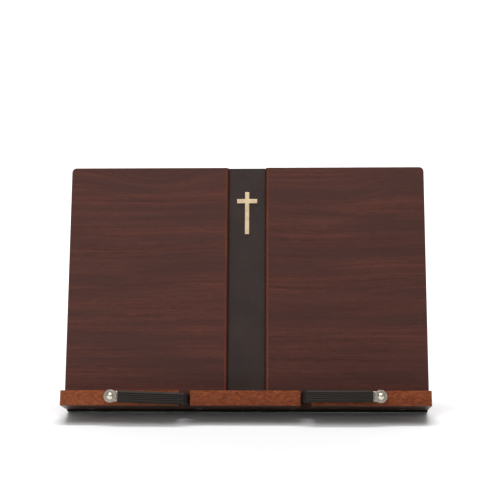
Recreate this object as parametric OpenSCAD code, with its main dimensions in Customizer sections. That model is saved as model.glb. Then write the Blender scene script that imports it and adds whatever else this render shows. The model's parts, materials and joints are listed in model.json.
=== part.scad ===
// Leaning wooden book stand: a two-panel board on a solid ledge, two spring-loaded page
// holders on the ledge's front face, and a hinged rear leg held open by a wire stay.
// Units are millimetres. +Z is up, the reader sits on the -Y side, the table is at Z = 0.

/* [Board] */
// Width of the board and the ledge
board_w = 350; // [300:1:460]
// Height of the board above the ledge
board_h = 225; // [215:1:320]
// Angle that the board leans back from upright
lean = 20; // [16:1:24]
// Thickness of the two front panels
panel_t = 4.5; // [3:0.1:8]
// Thickness of the backing board behind the panels
back_t = 8; // [6:0.5:14]
// Width of the channel between the panels
channel_w = 35.4; // [26:0.1:70]
// Radius on the panels' front edges along the channel
channel_round = 4; // [0.5:0.1:4]
// Thickness of the dark strip that lines the channel
strip_t = 0.8; // [0.5:0.1:2]
// Radius of the board's outer top corners
corner_r = 4.5; // [1:0.5:20]
// Radius of each panel's inner top corner
inner_corner_r = 1.5; // [0.5:0.5:10]

/* [Cross] */
// Height of the cross
cross_h = 42.8; // [20:0.1:70]
// Width of the cross
cross_w = 20; // [10:1:24]
// Width of the two bars
cross_bar = 4.2; // [2:0.1:8]
// Thickness of the cross
cross_t = 0.8; // [0.4:0.1:2]
// Distance from the board's top edge to the top of the cross
cross_drop = 24.6; // [10:0.1:80]
// Distance from the top of the cross to its crossbar
cross_arm_drop = 7.1; // [4:0.1:12]

/* [Ledge] */
// Thickness of the ledge plank
ledge_t = 14.2; // [13:0.1:24]
// Depth of the ledge in front of the panels
ledge_reach = 25.5; // [25:0.5:45]
// Depth of the plank behind the backing board
ledge_overhang = 12; // [6:0.5:16]
// Width of the notch that takes a holder's tip
notch_w = 10.4; // [10:0.1:16]
// Depth of the notch from the front face
notch_d = 23; // [21:0.5:24.5]
// Thickness of the rubber strip under the rear edge
foot_strip_t = 1.5; // [1:0.1:3]
// Width of the rubber strip
foot_strip_w = 9; // [5:0.5:14]

/* [Page holders] */
// Distance from the end of the ledge to the pivot
pivot_inset = 47.8; // [15:0.1:70]
// Height of the pivot above the middle of the ledge's front face
pivot_rise = 1.3; // [0:0.1:1.3]
// Length of the arm from the pivot to its outer tip
arm_len = 74.2; // [50:0.1:78]
// How far the bent tip reaches behind the ledge's front face
tip_reach = 20; // [10:0.5:20.5]
// Angle that the left arm droops from level
left_droop = 2; // [0:0.5:3]
// Diameter of the eye at the pivot
eye_d = 12.2; // [9:0.1:13]
// Width of the steel plate
plate_w = 9.5; // [6:0.1:10.5]
// Thickness of the steel plate
plate_t = 1.2; // [0.8:0.1:1.6]
// Height of the rubber sleeve
sleeve_h = 11; // [10.6:0.1:11.5]
// Thickness of the rubber sleeve
sleeve_t = 5; // [4:0.1:6]
// Distance from the pivot to the near end of the sleeve
sleeve_start = 7; // [6.5:0.5:12]
// Radius of the pivot pin
pin_r = 2; // [1.5:0.1:2.2]
// Diameter of the pin's domed head
head_d = 7.2; // [6:0.1:9]
// Height of the pin's domed head
head_h = 3; // [1.5:0.1:3.5]
// How far a holder pulls out of the ledge
pull_out = 12; // [4:0.5:12]

/* [Spring pocket] */
// Thickness of the ledge wall that the pin runs through
pocket_wall = 6; // [4:0.5:8]
// Radius of the pocket behind that wall
pocket_r = 4; // [3.9:0.1:4.4]
// Radius of the spring wire
spring_wire_r = 0.45; // [0.3:0.05:0.5]
// Number of turns in each spring
spring_turns = 6; // [4:1:6]
// Length of the spring at rest
spring_len = 18; // [17.5:0.5:20]
// Length of the collar that the spring pushes on
collar_l = 4; // [2:0.5:6]
// Length of the plug that closes the pocket
plug_l = 6; // [4:0.5:10]

/* [Rear leg] */
// Height of the hinge above the underside of the ledge, along the board
hinge_z = 165; // [160:1:175]
// Angle between the open leg and the board
leg_open = 35; // [33:1:38]
// Width of the leg
leg_w = 46; // [40:1:60]
// Thickness of the leg
leg_t = 10; // [9:0.5:14]
// Gap between the plank's rear edge and the folded leg
leg_gap = 2; // [1.5:0.5:4]
// Thickness of the rubber pad under the leg
pad_t = 3; // [2:0.5:5]
// Width of the hinge block
block_w = 70; // [66:1:90]
// Height of the hinge block
block_h = 26; // [24:1:40]

/* [Leg hinge] */
// Thickness of the hinge leaves
leaf_t = 1.5; // [1:0.1:2]
// Height of each hinge leaf
leaf_h = 20; // [16:1:22]
// Width of the hinge
leaf_w = 42; // [36:1:44]
// Outer radius of the hinge knuckles
knuckle_r = 2.9; // [2.5:0.1:3.5]
// Radius of the hinge pin
hinge_pin_r = 1.5; // [1:0.1:1.7]

/* [Wire stay] */
// Distance from the hinge to the stay's pivot on the leg
stay_pivot_l = 62; // [58:1:66]
// Length of the stay from its pivot to its crossbar
stay_len = 78; // [76:1:82]
// Radius of the stay wire
wire_r = 2; // [1.5:0.1:2.3]
// Inner gap between the stay and the leg's sides
stay_gap = 0.7; // [0.5:0.1:2]
// How far each bent end goes into the leg
stay_end_l = 10; // [6:0.5:12]

/* [Catch rack] */
// Width of the rack
rack_w = 30; // [20:1:34]
// Thickness of the rack's base
rack_base_t = 2; // [1.5:0.1:3]
// Height of the teeth above the base
tooth_h = 4; // [3:0.1:5]
// Length of each tooth
tooth_l = 6; // [4:0.5:8]
// Number of teeth
tooth_n = 3; // [2:1:3]
// Distance between teeth
tooth_pitch = 15; // [14:0.5:18]

/* [Screws] */
// Radius of the ledge and hinge block screws
big_screw_r = 1.75; // [1.25:0.05:2]
// Radius of the hinge and rack screws
small_screw_r = 1.25; // [1:0.05:1.5]

/* [Hidden] */
$fn = 64;
over = 1; // overrun of a cutting tool past a face
run_gap = 0.05; // radial clearance of a pin that turns or slides in its hole
side_gap = 0.1; // gap between two faces that slide past each other
split_gap = 2; // distance from the hinge axis to the block above it and the leg below it
rub_gap = 0.5; // gap between the ledge's front face and a sleeve
seat_gap = 0.3; // gap between the stay's crossbar and the tooth that catches it
stay_clear = 0.6; // gap between the crossbar and the rack's base
tip_gap = 1; // gap between a holder's tip and the far side of its notch
bend_r = 7; // outer radius of the sleeve's bend
tip_round = 1.6; // radius at the end of the sleeve's tip
eye_rim = 1.1; // width of the raised rim round the eye
eye_rim_h = 0.7; // height of that rim
plate_shift = 0.6; // how far the plate lies from the middle of the sleeve, towards the ledge
washer_r = 4.4; // radius of the spacer behind the eye
collar_clear = 0.3; // gap between a spring collar and its pocket
wire_sides = 6; // sides of the spring's wire
turn_steps = 16; // straight steps in one turn of the spring
hex_sides = 6;
socket_wide = 0.8; // radius of a screw's socket, as a share of the shank's radius
socket_deep = 0.9; // depth of that socket, as a share of the shank's radius
ledge_screw_inset = 25; // distance from the ledge's end to its outer screws
ledge_screw_mid = 45; // distance from the middle to the ledge's inner screws
ledge_screw_bite = 20; // length of a ledge screw in the backing board
block_screw_inset = 7; // distance from the hinge block's end to its screws
leaf_screw_inset = 8; // distance from a leaf's side to its screws
leaf_screw_end = 6; // distance from a leaf's end to its screws
leaf_screw_bite = 7; // length of a leaf screw in the wood
board_skin = 2; // wood left between a screw's tip and the backing board's front face
pin_end = 1; // how far the hinge pin shows past the leaves
tooth_tip = 1.5; // thickness of a tooth at its tip
rack_foot = 2; // length of the rack below the crossbar
rack_head = 9; // length of the rack above its highest tooth
rack_screw_rise = 4.5; // distance from the top of a tooth to the screw above it
panel_w = (board_w - channel_w) / 2;
back_front_y = ledge_reach + panel_t; // front face of the backing board
back_y = back_front_y + back_t; // rear face of the backing board
ledge_d = back_y + ledge_overhang;
pivot_x = board_w / 2 - pivot_inset;
pivot_z = ledge_t / 2 + pivot_rise;
sleeve_front = rub_gap + sleeve_t;
plate_back = rub_gap + (sleeve_t - plate_t) / 2 - plate_shift;
plate_front = plate_back + plate_t;
collar_y = pocket_wall + spring_len;
spring_r = pin_r + 2 * spring_wire_r + side_gap; // radius at the middle of the spring wire

lift = ledge_d * sin(lean) + foot_strip_t * cos(lean);
leg_front = knuckle_r + leg_t; // distance from the hinge axis to the leg's front face
hinge_y = back_y + ledge_overhang + leg_gap + leg_front;
theta = leg_open - lean; // angle of the open leg from upright
hinge_up = hinge_z * cos(lean) - hinge_y * sin(lean) + lift;
hinge_back = hinge_y * cos(lean) + hinge_z * sin(lean);
function leg_reach(y) = (hinge_up - y * sin(theta) - pad_t) / cos(theta);
low_sleeve_z = pivot_z - (arm_len - bend_r) * sin(left_droop) - sleeve_h / 2 * cos(left_droop);
front_y = -sleeve_front * cos(lean) + low_sleeve_z * sin(lean);
rear_y = hinge_back + leg_reach(knuckle_r) * sin(theta) - knuckle_r * cos(theta);
mid_y = (front_y + rear_y) / 2;

stay_depth = knuckle_r + leg_t / 2; // the stay's pivot lies at the middle of the leg's thickness
stay_pivot_y = hinge_y + stay_pivot_l * sin(leg_open) - stay_depth * cos(leg_open);
stay_pivot_z = hinge_z - stay_pivot_l * cos(leg_open) - stay_depth * sin(leg_open);
crossbar_y = back_y + rack_base_t + stay_clear + wire_r;
stay_tilt = asin((stay_pivot_y - crossbar_y) / stay_len);
crossbar_z = stay_pivot_z - stay_len * cos(stay_tilt);
stay_x = leg_w / 2 + stay_gap + wire_r;
stay_bend = 6; // radius at the middle of the wire's two big bends
catch_z = crossbar_z + wire_r + seat_gap; // lower face of the lowest tooth
rack_low = crossbar_z - wire_r - rack_foot;
first_tooth_top = catch_z + tooth_l;
last_tooth_top = first_tooth_top + (tooth_n - 1) * tooth_pitch;
rack_high = last_tooth_top + rack_head;
rack_screw_z = [first_tooth_top + rack_screw_rise, last_tooth_top + rack_screw_rise];
block_low = hinge_z + split_gap; // underside of the hinge block
block_t = hinge_y - knuckle_r - back_y;
outer_screw_x = board_w / 2 - ledge_screw_inset;
ledge_screw_x = [-outer_screw_x, -ledge_screw_mid, ledge_screw_mid, outer_screw_x];
ledge_screw_l = ledge_t + ledge_screw_bite;
block_screw_x = block_w / 2 - block_screw_inset;
block_screw_l = block_t + back_t - board_skin;
leaf_screw_x = leaf_w / 2 - leaf_screw_inset;
leaf_screw_z = leaf_h - leaf_screw_end;
leaf_screw_l = leaf_t + leaf_screw_bite;
rack_screw_l = rack_base_t + back_t - board_skin;
knuckle_split = leaf_w / 4; // where the middle knuckle ends
knuckle_gap = 0.3;

PANEL_WOOD = [0.30, 0.19, 0.17];
LEDGE_WOOD = [0.47, 0.27, 0.17];
STRIP_BLACK = [0.22, 0.19, 0.18];
PALE_GOLD = [0.87, 0.78, 0.63];
RUBBER_BLACK = [0.13, 0.13, 0.13];
NICKEL = [0.75, 0.73, 0.68];
STEEL = [0.62, 0.62, 0.63];

// Placement ------------------------------------------------------------------------------

// The board's own frame: x across, y back from the ledge's front face, z up the board.
module tilted() {
    translate([0, -mid_y, lift]) rotate([-lean, 0, 0]) children();
}

// The leg's frame: the hinge axis is the origin and the leg hangs down -z.
module on_leg() {
    tilted() translate([0, hinge_y, hinge_z]) rotate([leg_open, 0, 0]) children();
}

// The stay's frame: its pivot is the origin and it runs down -z to the crossbar.
module on_stay() {
    tilted() translate([0, stay_pivot_y, stay_pivot_z]) rotate([-stay_tilt, 0, 0]) children();
}

// A holder's frame: the pivot is the origin, x runs inwards along the arm. side: -1 left, 1 right.
module at_pivot(side) {
    droop = side < 0 ? left_droop : 0;
    tilted() translate([side * pivot_x, 0, pivot_z]) mirror([side > 0 ? 1 : 0, 0, 0])
        rotate([0, droop, 0]) children();
}

// Shapes ---------------------------------------------------------------------------------

// Extrudes a (y, z) outline across the stand, centred on x = 0.
module across(w) {
    rotate([90, 0, 90]) linear_extrude(w, center = true) children();
}

// Extrudes an (x, z) outline from y = 0 back to y = t.
module plate(t) {
    translate([0, t, 0]) rotate([90, 0, 0]) linear_extrude(t) children();
}

// Extrudes an (x, y) outline of the arm over the height h, centred on the pivot.
module arm_profile(h) {
    translate([0, 0, -h / 2]) linear_extrude(h) children();
}

// What a round corner removes from a square one whose tip is at the origin.
module corner_waste(r) {
    difference() {
        translate([-over, -over]) square(r + over);
        translate([r, r]) circle(r);
    }
}

// A panel outline with its lower left corner at the origin and round top corners.
module board_outline(w, h, left_r, right_r) {
    difference() {
        square([w, h]);
        translate([0, h]) mirror([0, 1]) corner_waste(left_r);
        translate([w, h]) rotate(180) corner_waste(right_r);
    }
}

// A cylinder along y from y0 to y1.
module rod_y(r, y0, y1) {
    translate([0, y0, 0]) rotate([-90, 0, 0]) cylinder(r = r, h = y1 - y0);
}

// A cylinder along x from x0 to x1.
module rod_x(r, x0, x1) {
    translate([x0, 0, 0]) rotate([0, 90, 0]) cylinder(r = r, h = x1 - x0);
}

// A countersunk screw: head face at z = 0, shank up +z, socket in the head.
module screw(r, l) {
    difference() {
        screw_space(r, l);
        translate([0, 0, -over])
            cylinder(r = r * socket_wide, h = r * socket_deep + over, $fn = hex_sides);
    }
}

// The whole space that such a screw fills.
module screw_space(r, l) {
    cylinder(r1 = 2 * r, r2 = r, h = r);
    cylinder(r = r, h = l);
}

// A screw, or its space, driven forwards (towards -y) from a face at y = 0.
module from_behind() {
    rotate([90, 0, 0]) children();
}

// Board ----------------------------------------------------------------------------------

module ledge_screw_places() {
    for (x = ledge_screw_x) translate([x, back_front_y + back_t / 2, 0]) children();
}

module block_screw_places() {
    for (side = [-1, 1])
        translate([side * block_screw_x, back_y + block_t, block_low + block_h / 2])
            from_behind() children();
}

module rack_screw_places() {
    for (z = rack_screw_z) translate([0, back_y + rack_base_t, z]) from_behind() children();
}

module back_board() color(PANEL_WOOD) tilted() difference() {
    translate([-board_w / 2, back_front_y, ledge_t])
        plate(back_t) board_outline(board_w, board_h, corner_r, corner_r);
    ledge_screw_places() screw_space(big_screw_r, ledge_screw_l);
    block_screw_places() screw_space(big_screw_r, block_screw_l);
    rack_screw_places() screw_space(small_screw_r, rack_screw_l);
}

// What the round front edge along the channel removes from a panel whose edge is at x = 0.
module channel_edge_waste() {
    translate([0, 0, -over]) linear_extrude(board_h + 2 * over) corner_waste(channel_round);
}

module left_panel() color(PANEL_WOOD) tilted()
    translate([-board_w / 2, ledge_reach, ledge_t]) difference() {
        plate(panel_t) board_outline(panel_w, board_h, corner_r, inner_corner_r);
        translate([panel_w, 0, 0]) mirror([1, 0, 0]) channel_edge_waste();
    }

module right_panel() color(PANEL_WOOD) tilted()
    translate([channel_w / 2, ledge_reach, ledge_t]) difference() {
        plate(panel_t) board_outline(panel_w, board_h, inner_corner_r, corner_r);
        channel_edge_waste();
    }

module centre_strip() color(STRIP_BLACK) tilted()
    translate([-channel_w / 2, back_front_y - strip_t, ledge_t])
        plate(strip_t) square([channel_w, board_h]);

module cross() color(PALE_GOLD) tilted()
    translate([0, back_front_y - strip_t - cross_t, ledge_t + board_h - cross_drop])
        plate(cross_t) {
            translate([-cross_bar / 2, -cross_h]) square([cross_bar, cross_h]);
            translate([-cross_w / 2, -cross_arm_drop - cross_bar]) square([cross_w, cross_bar]);
        }

// Ledge ----------------------------------------------------------------------------------

module notch(side) {
    inner = arm_len + tip_gap - notch_w;
    x0 = side < 0 ? -pivot_x + inner : pivot_x - inner - notch_w;
    translate([x0, -over, -over]) cube([notch_w, notch_d + over, ledge_t + 2 * over]);
}

module pin_bore(side) {
    translate([side * pivot_x, 0, pivot_z]) {
        rod_y(pin_r + run_gap, -over, pocket_wall + over);
        rod_y(pocket_r, pocket_wall, ledge_d + over);
    }
}

module ledge() color(LEDGE_WOOD) tilted() difference() {
    translate([-board_w / 2, 0, 0]) cube([board_w, ledge_d, ledge_t]);
    for (side = [-1, 1]) {
        notch(side);
        pin_bore(side);
    }
    ledge_screw_places() screw_space(big_screw_r, ledge_screw_l);
}

module ledge_screws() color(STEEL) tilted() ledge_screw_places()
    screw(big_screw_r, ledge_screw_l);

module foot_strip() color(RUBBER_BLACK) tilted()
    translate([-board_w / 2, ledge_d - foot_strip_w, -foot_strip_t])
        cube([board_w, foot_strip_w, foot_strip_t]);

module bore_plug(side) color(LEDGE_WOOD) tilted() translate([side * pivot_x, 0, pivot_z])
    rod_y(pocket_r, ledge_d - plug_l, ledge_d);

// Page holders ---------------------------------------------------------------------------

// The arm seen from above: straight, then bent back at the tip. It lies between the
// distances a (back) and b (front) from the ledge's front face.
module arm_outline(start, a, b, reach) {
    outer = bend_r - (sleeve_front - b);
    inner = bend_r - (sleeve_front - a);
    mid = [arm_len - bend_r, bend_r - sleeve_front];
    translate([start, -b]) square([mid[0] - start, b - a]);
    translate(mid) intersection() {
        difference() {
            circle(outer);
            circle(inner);
        }
        translate([0, -bend_r]) square(bend_r);
    }
    translate([mid[0] + inner, mid[1]]) square([outer - inner, reach - mid[1]]);
}

module sleeve_outline() difference() {
    arm_outline(sleeve_start, rub_gap, sleeve_front, tip_reach);
    translate([arm_len, tip_reach]) rotate(180) corner_waste(tip_round);
    translate([arm_len - sleeve_t, tip_reach]) rotate(-90) corner_waste(tip_round);
}

module plate_in_sleeve() arm_profile(plate_w)
    arm_outline(0, plate_back, plate_front, tip_reach - 2 * tip_round);

module holder_plate(side) color(NICKEL) at_pivot(side) difference() {
    union() {
        plate_in_sleeve();
        rod_y(eye_d / 2, -plate_front, -plate_back);
        difference() {
            rod_y(eye_d / 2, -plate_front - eye_rim_h, -plate_front);
            rod_y(eye_d / 2 - eye_rim, -plate_front - eye_rim_h - over, -plate_front);
        }
    }
    rod_y(pin_r + run_gap, -plate_front - over, over);
}

module holder_sleeve(side) color(RUBBER_BLACK) at_pivot(side) difference() {
    arm_profile(sleeve_h) sleeve_outline();
    plate_in_sleeve();
}

module pivot_pin(side) color(NICKEL) at_pivot(side) {
    rod_y(pin_r, -plate_front - side_gap, collar_y + collar_l);
    translate([0, -plate_front - side_gap, 0]) rotate([90, 0, 0]) domed_head();
}

// A shallow dome of the head's height and diameter, standing on z = 0.
module domed_head() {
    ball_r = (head_d * head_d / 4 + head_h * head_h) / (2 * head_h);
    intersection() {
        translate([0, 0, head_h - ball_r]) sphere(ball_r);
        cylinder(d = head_d + over, h = head_h + over);
    }
}

module spacer(side) color(NICKEL) at_pivot(side) difference() {
    rod_y(washer_r, -plate_back + side_gap, -side_gap);
    rod_y(pin_r, -plate_front, over);
}

module spring_collar(side) color(STEEL) at_pivot(side) difference() {
    rod_y(pocket_r - collar_clear, collar_y, collar_y + collar_l);
    rod_y(pin_r, collar_y - over, collar_y + collar_l + over);
}

// One ring of the coil's wire, at the angle a round the coil and the height y along it.
function wire_ring(a, y) = [for (k = [0:wire_sides - 1])
    let (c = spring_r + spring_wire_r * cos(360 * k / wire_sides))
        [c * cos(a), y + spring_wire_r * sin(360 * k / wire_sides), c * sin(a)]];

module spring(side) {
    rings = spring_turns * turn_steps;
    y0 = pocket_wall + spring_wire_r + run_gap;
    y1 = collar_y - spring_wire_r - run_gap;
    points = [for (i = [0:rings])
        each wire_ring(360 * i / turn_steps, y0 + (y1 - y0) * i / rings)];
    walls = [for (i = [0:rings - 1], k = [0:wire_sides - 1])
        let (n = (k + 1) % wire_sides, a = i * wire_sides, b = a + wire_sides)
            [a + k, a + n, b + n, b + k]];
    start = [for (k = [wire_sides - 1:-1:0]) k];
    end = [for (k = [0:wire_sides - 1]) rings * wire_sides + k];
    color(STEEL) tilted() translate([side * pivot_x, 0, pivot_z])
        polyhedron(points, concat(walls, [start, end]));
}

// Rear leg -------------------------------------------------------------------------------

module leaf_screw_places(down) {
    z = down ? -leaf_screw_z : leaf_screw_z;
    for (side = [-1, 1]) translate([side * leaf_screw_x, leaf_t - knuckle_r, z])
        from_behind() children();
}

// One hinge leaf, with the hinge axis at the origin. A leaf that goes down has the middle
// knuckle, and one that goes up has the two outer ones.
module hinge_leaf(down) {
    clear = knuckle_r + knuckle_gap;
    bore = down ? hinge_pin_r + run_gap : hinge_pin_r;
    spans = down ? [[-knuckle_split, knuckle_split]] : [
        [-leaf_w / 2, -knuckle_split - knuckle_gap], [knuckle_split + knuckle_gap, leaf_w / 2]];
    difference() {
        union() {
            translate([-leaf_w / 2, -knuckle_r, down ? -leaf_h : clear])
                cube([leaf_w, leaf_t, leaf_h - clear]);
            for (s = spans) {
                rod_x(knuckle_r, s[0], s[1]);
                translate([s[0], -knuckle_r, down ? -clear : 0]) cube([s[1] - s[0], leaf_t, clear]);
            }
        }
        rod_x(bore, -leaf_w, leaf_w);
        leaf_screw_places(down) screw_space(small_screw_r, leaf_screw_l);
    }
}

module on_hinge() {
    tilted() translate([0, hinge_y, hinge_z]) children();
}

module hinge_block() color(LEDGE_WOOD) difference() {
    tilted() translate([-block_w / 2, back_y, block_low]) cube([block_w, block_t, block_h]);
    tilted() block_screw_places() screw_space(big_screw_r, block_screw_l);
    on_hinge() leaf_screw_places(false) screw_space(small_screw_r, leaf_screw_l);
}

module block_screws() color(STEEL) tilted() block_screw_places()
    screw(big_screw_r, block_screw_l);

module hinge_block_leaf() color(NICKEL) on_hinge() hinge_leaf(false);

module block_leaf_screws() color(STEEL) on_hinge() leaf_screw_places(false)
    screw(small_screw_r, leaf_screw_l);

module hinge_pin() color(STEEL) on_hinge()
    rod_x(hinge_pin_r, -leaf_w / 2 - pin_end, leaf_w / 2 + pin_end);

module hinge_leg_leaf() color(NICKEL) on_leg() hinge_leaf(true);

module leg_leaf_screws() color(STEEL) on_leg() leaf_screw_places(true)
    screw(small_screw_r, leaf_screw_l);

// The leg's side view. Its foot is cut level with the table when the leg is open.
module leg_side() polygon([[-leg_front, -split_gap], [-knuckle_r, -split_gap],
    [-knuckle_r, -leg_reach(knuckle_r)], [-leg_front, -leg_reach(leg_front)]]);

module rear_leg() color(LEDGE_WOOD) on_leg() difference() {
    across(leg_w) leg_side();
    leaf_screw_places(true) screw_space(small_screw_r, leaf_screw_l);
    for (side = [0, 1]) mirror([side, 0, 0]) translate([0, -stay_depth, -stay_pivot_l])
        rod_x(wire_r + run_gap, leg_w / 2 - stay_end_l - over, leg_w / 2 + over);
}

module leg_foot_pad() color(RUBBER_BLACK) on_leg() across(leg_w) {
    down = pad_t * [-sin(theta), -cos(theta)];
    front = [-leg_front, -leg_reach(leg_front)];
    rear = [-knuckle_r, -leg_reach(knuckle_r)];
    polygon([front, rear, rear + down, front + down]);
}

// Wire stay and rack ---------------------------------------------------------------------

module wire_stay() color(STEEL) on_stay() {
    translate([0, 0, -stay_len]) rod_x(wire_r, -stay_x + stay_bend, stay_x - stay_bend);
    for (side = [0, 1]) mirror([side, 0, 0]) {
        translate([stay_x, 0, -stay_len + stay_bend]) cylinder(r = wire_r, h = stay_len - stay_bend);
        translate([stay_x - stay_bend, 0, -stay_len + stay_bend]) rotate([90, 0, 0])
            rotate([0, 0, -90]) rotate_extrude(angle = 90) translate([stay_bend, 0]) circle(wire_r);
        translate([stay_x, 0, 0]) sphere(wire_r);
        rod_x(wire_r, leg_w / 2 - stay_end_l, stay_x);
    }
}

module rack_side() {
    translate([0, rack_low]) square([rack_base_t, rack_high - rack_low]);
    for (i = [0:tooth_n - 1]) translate([0, catch_z + i * tooth_pitch])
        polygon([[0, 0], [rack_base_t + tooth_h, 0], [rack_base_t + tooth_h, tooth_tip],
            [rack_base_t, tooth_l], [0, tooth_l]]);
}

module catch_rack() color(STRIP_BLACK) tilted() difference() {
    translate([0, back_y, 0]) across(rack_w) rack_side();
    rack_screw_places() screw_space(small_screw_r, rack_screw_l);
}

module rack_screws() color(STEEL) tilted() rack_screw_places()
    screw(small_screw_r, rack_screw_l);

// One line per node --------------------------------------------------------------------

back_board();
left_panel();
right_panel();
centre_strip();
cross();
ledge();
ledge_screws();
foot_strip();
bore_plug(-1);  // left_bore_plug
bore_plug(1);  // right_bore_plug
spring(-1);  // left_spring
spring(1);  // right_spring
pivot_pin(-1);  // left_pivot_pin
pivot_pin(1);  // right_pivot_pin
spacer(-1);  // left_spacer
spacer(1);  // right_spacer
spring_collar(-1);  // left_spring_collar
spring_collar(1);  // right_spring_collar
holder_plate(-1);  // left_holder_plate
holder_plate(1);  // right_holder_plate
holder_sleeve(-1);  // left_holder_sleeve
holder_sleeve(1);  // right_holder_sleeve
hinge_block();
block_screws();
hinge_block_leaf();
block_leaf_screws();
hinge_pin();
hinge_leg_leaf();
leg_leaf_screws();
rear_leg();
leg_foot_pad();
wire_stay();
catch_rack();
rack_screws();
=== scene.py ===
# %% [markdown]
# # A leaning book stand
# The stand is a board that leans back on a hinged leg. It is made of two walnut-grained panels
# with a dark recessed strip between them, and a solid ledge along the foot. Two rubber-sleeved
# arms on the ledge's face hold the pages. The engineering model gives every size, place and
# joint, and this lesson gives the model its finished surfaces, cell by cell.

# %% Load the model
import json
import math

import bmesh
import bpy
from mathutils import Matrix, Vector

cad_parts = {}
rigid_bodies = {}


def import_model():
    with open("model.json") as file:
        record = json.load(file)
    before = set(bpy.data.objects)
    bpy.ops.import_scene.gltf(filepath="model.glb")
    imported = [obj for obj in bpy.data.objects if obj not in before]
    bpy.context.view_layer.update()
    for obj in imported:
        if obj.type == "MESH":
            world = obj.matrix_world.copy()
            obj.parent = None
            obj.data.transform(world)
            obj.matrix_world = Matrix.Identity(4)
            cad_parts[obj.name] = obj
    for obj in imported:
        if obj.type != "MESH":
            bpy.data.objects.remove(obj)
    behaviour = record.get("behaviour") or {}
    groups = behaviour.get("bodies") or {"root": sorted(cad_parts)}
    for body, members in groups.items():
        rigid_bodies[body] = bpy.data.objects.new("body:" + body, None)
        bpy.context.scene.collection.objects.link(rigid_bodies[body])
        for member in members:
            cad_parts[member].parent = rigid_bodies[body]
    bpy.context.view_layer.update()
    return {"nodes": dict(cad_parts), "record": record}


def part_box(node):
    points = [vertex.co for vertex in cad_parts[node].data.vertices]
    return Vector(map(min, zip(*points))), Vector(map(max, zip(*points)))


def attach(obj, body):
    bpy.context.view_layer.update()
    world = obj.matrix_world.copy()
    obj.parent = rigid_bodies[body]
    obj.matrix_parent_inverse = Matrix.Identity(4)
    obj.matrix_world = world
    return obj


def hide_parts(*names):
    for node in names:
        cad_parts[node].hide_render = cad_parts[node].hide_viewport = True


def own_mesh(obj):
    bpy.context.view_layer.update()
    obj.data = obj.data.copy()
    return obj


for spare in list(bpy.data.objects):
    bpy.data.objects.remove(spare)
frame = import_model()
behaviour = frame["record"]["behaviour"]
joints = {joint["name"]: joint for joint in behaviour["joints"]}

# %% [markdown]
# ## Frames to work in
# The board, the leg, the stay and the two arms all lie at an angle to the table. Each gets a
# frame of its own, worked out from the joints: in the board's frame x runs across, y runs back
# through the board and z runs up it. A piece is shaped in its own plain frame, and its mesh is
# then moved to its place, so that the finished object sits at the origin.

# %% Frames from the joints
MM = 0.001


def frame_at(place, across, back):
    """A frame at a place, from its x and y directions."""
    x, y = Vector(across).normalized(), Vector(back).normalized()
    spin = Matrix((x, y, x.cross(y))).transposed().to_4x4()
    return Matrix.Translation(Vector(place)) @ spin


pull = Vector(joints["right_holder_pull"]["axis"])
board_back = -pull
board_up = Vector((1, 0, 0)).cross(board_back)
lean = math.atan2(board_up.y, board_up.z)
right_pivot = Vector(joints["right_holder_swing"]["pos_m"])
left_pivot = Vector(joints["left_holder_swing"]["pos_m"])
left_stop, right_stop = (joints[side + "_holder_swing"]["range_deg"][1]
                         for side in ("left", "right"))
droop = math.radians(left_stop - right_stop)
board_frame = frame_at((0, right_pivot.y, right_pivot.z), (1, 0, 0), board_back)
print("the board leans", round(math.degrees(lean), 2), "degrees; the left arm droops",
      round(math.degrees(droop), 2))

# %% [markdown]
# ## Sizes come from the model
# No size of the stand is written down again here. A node is measured in the frame that it lies
# square in, because its box in the room's own directions would be too large for a leaning part.

# %% Measuring a node in a frame


def corners(node, home):
    """The lowest and highest corners of a node, measured in one of those frames."""
    inverse = home.inverted()
    points = [inverse @ v.co for v in frame["nodes"][node].data.vertices]
    low = Vector([min(p[i] for p in points) for i in range(3)])
    high = Vector([max(p[i] for p in points) for i in range(3)])
    return low, high


def body_of(node):
    """The name of the body that a node belongs to."""
    return next(name for name, held in behaviour["bodies"].items() if node in held)


panel_low, panel_high = corners("left_panel", board_frame)
print("left panel", [round((b - a) / MM, 1) for a, b in zip(panel_low, panel_high)], "mm")

# %% [markdown]
# ## Helpers for shader trees
# A shader tree is a drawing of boxes and wires. One helper makes a box, sets its options and
# fills its sockets: a socket in the list is wired in, and a plain value is written on the box.

# %% Shader helpers


def box(tree, kind, sockets=None, **options):
    """Adds a shader or geometry node and fills its sockets."""
    made = tree.nodes.new(kind)
    for name, value in options.items():
        setattr(made, name, value)
    for name, value in (sockets or {}).items():
        target = made.inputs[name]
        if isinstance(value, bpy.types.NodeSocket):
            tree.links.new(value, target)
        else:
            target.default_value = value
    return made


def sums(tree, operation, first, second=0.0, third=0.0):
    """One Math box."""
    made = box(tree, "ShaderNodeMath", {0: first, 1: second, 2: third}, operation=operation)
    return made.outputs[0]


def ramp(tree, factor, *stops):
    """A colour ramp with (position, colour) stops."""
    made = box(tree, "ShaderNodeValToRGB", {"Fac": factor})
    bands = made.color_ramp.elements
    while len(bands) < len(stops):
        bands.new(0.5)
    for band, (place, colour) in zip(bands, stops):
        band.position, band.color = place, (*colour, 1)
    return made.outputs["Color"]


def mixed(tree, amount, first, second):
    """A colour mix."""
    made = box(tree, "ShaderNodeMix", {"Factor": amount}, data_type="RGBA")
    for socket, value in ((made.inputs[6], first), (made.inputs[7], second)):
        if isinstance(value, bpy.types.NodeSocket):
            tree.links.new(value, socket)
        else:
            socket.default_value = (*value, 1)
    return made.outputs[2]


def new_material(name):
    """An empty node material with its shader: (material, tree, shader)."""
    made = bpy.data.materials.new(name)
    made.use_nodes = True
    tree = made.node_tree
    return made, tree, tree.nodes["Principled BSDF"]


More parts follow.
